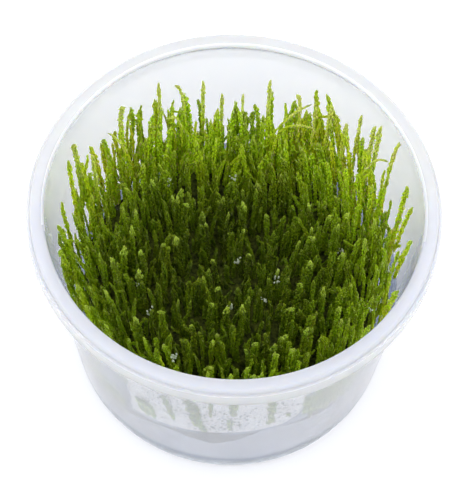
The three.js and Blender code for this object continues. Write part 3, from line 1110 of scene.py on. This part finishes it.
def make_floor():
    clear_selection()
    bpy.ops.mesh.primitive_plane_add(size=4, location=(0, 0, 0))
    floor = bpy.context.object
    floor.name = "floor"
    floor.data.materials.append(Look("pale_floor").finish({
        "Base Color": grey(0.62),
        "Roughness": 0.9,
        "Emission Color": (0.98, 0.99, 1.04),
        "Emission Strength": 0.5,
    }))


def make_lights():
    """One large soft light from above and in front, and pale light from all round"""
    world = bpy.data.worlds.new("studio")
    world.use_nodes = True
    nodes = Nodes(world.node_tree)
    direction = nodes.tree.nodes.new("ShaderNodeTexCoord").outputs["Generated"]
    towards = nodes.vector("DOT_PRODUCT", direction, Vector(LIGHT_FROM).normalized()).outputs["Value"]
    softbox = nodes.ramp(nodes.scaled(towards, -1, 1), (0.0, (0.8, 0.82, 0.86)),
                         (0.5, (0.98, 1.0, 1.05)), (0.8, (1.1, 1.12, 1.17)), (1.0, (1.6, 1.62, 1.67)))
    background = nodes.tree.nodes["Background"]
    nodes.put(background.inputs["Color"], softbox)
    nodes.put(background.inputs["Strength"], 1.05)
    bpy.context.scene.world = world


def make_camera():
    """At the photo's angle: above and in front, the mouth of the cup high in the picture"""
    data = bpy.data.cameras.new("camera")
    data.sensor_fit = "VERTICAL"
    data.sensor_height = SENSOR
    data.lens = FOCAL_PIXELS / PHOTO_HEIGHT * SENSOR
    data.clip_start = 0.05
    camera = bpy.data.objects.new("camera", data)
    level, steep = math.cos(CAMERA_ELEVATION), math.sin(CAMERA_ELEVATION)
    back, up = Vector((0, -level, steep)), Vector((0, steep, level))
    mouth = Vector((0, 0, CUP_HEIGHT))
    place = mouth + back * CAMERA_DISTANCE
    across = MOUTH_PIXEL[0] - PHOTO_WIDTH / 2
    down = MOUTH_PIXEL[1] - PHOTO_HEIGHT / 2
    roll_cos, roll_sin = math.cos(CAMERA_ROLL), math.sin(CAMERA_ROLL)
    turned_across = roll_cos * across + roll_sin * down
    turned_down = roll_cos * down - roll_sin * across
    per_pixel = CAMERA_DISTANCE / FOCAL_PIXELS
    aim = mouth - Vector((1, 0, 0)) * turned_across * per_pixel + up * turned_down * per_pixel
    look = (aim - place).normalized()
    camera.matrix_world = (Matrix.Translation(place) @ look.to_track_quat("-Z", "Y").to_matrix().to_4x4()
                           @ Matrix.Rotation(CAMERA_ROLL, 4, "Z"))
    bpy.context.scene.collection.objects.link(camera)
    bpy.context.scene.camera = camera


make_camera()
make_lights()
make_floor()
folded = (0.765, 0.772, 0.812), (0.78, 0.785, 0.822)
# back at the end of each plastic: painted shade at the back of the wall and inside, painted light at the back
# of the rim and its inner edge
make_cup(milky_plastic("milky_plastic", (0.955, 0.965, 0.99), (0.97, 0.978, 0.995), 0.93, back=grey(0.9)),
         milky_plastic("milky_rim", *folded, 0.35, 0.1, 0.16, back=(1.07, 1.06, 1.0)),
         milky_plastic("milky_skirt", (0.94, 0.955, 0.99), (0.96, 0.97, 1.0), 0.7),
         milky_plastic("milky_edge", *folded, 0.2, 0.35, 0.45, FAINT_GLOSS, (1.26, 1.255, 1.2)),
         [milky_plastic(f"milky_inside_{step}", (0.965, 0.965, 0.985), (0.98, 0.98, 0.995),
                        0.93 - 0.03 * step, 0.09 + 0.01 * step, 0.14 + 0.01 * step, FAINT_GLOSS,
                        (0.96, 0.955, 0.95)) for step in range(MILKIER_COUNT)])
make_gel(culture_gel())
make_old_stems(fibres_and_painted_shade("old_stem_brown", 900, ((0.35, (0.014, 0.02, 0.003)), (0.65, (0.07, 0.085, 0.01))),
                           300, 0.8, 0.001))
deep_green = moss_green("moss_green", (0.42, 0.62, 0.07), (0.14, 0.232, 0.004), (0.13, 0.2, 0.002),
                        (40 * MM, 55 * MM), 0.83)
make_moss(deep_green)
make_wall_shoots(moss_green("wall_moss_green", (0.2, 0.32, 0.13), (0.075, 0.13, 0.06), (0.065, 0.11, 0.05),
                            (25 * MM, 40 * MM), 0.8))
# Painted shade: the grey sheet that makes the dim band under the gel's edge
make_gel_edge_shade(fibres_and_painted_shade("gel_shade_grey", 260, ((0.3, (0.045, 0.07, 0.1)), (0.7, (0.14, 0.175, 0.23))),
                           200, 0.5, 0.0006))
make_mist(wall_mist())
# Painted shade: grey drops on the inside of the front wall
make_wall_drops(drops_painted_light("wall_dew", (0.32, 0.37, 0.39), (0.64, 0.69, 0.72)))
pale_green = moss_green("shoot_green", (0.66, 0.85, 0.16), (0.18, 0.28, 0.015), (0.13, 0.19, 0.004),
                        (38 * MM, 54 * MM), 0.4)
make_tall_shoots(pale_green, deep_green)
make_stray_shoots(pale_green)
# Painted highlight: pale drops at the glints between the leaves
make_held_drops(drops_painted_light("held_water_glint", (0.6, 0.68, 0.5), (0.95, 1.0, 0.85)))
bpy.context.scene.view_settings.view_transform = "Standard"

bpy.context.view_layer.update()
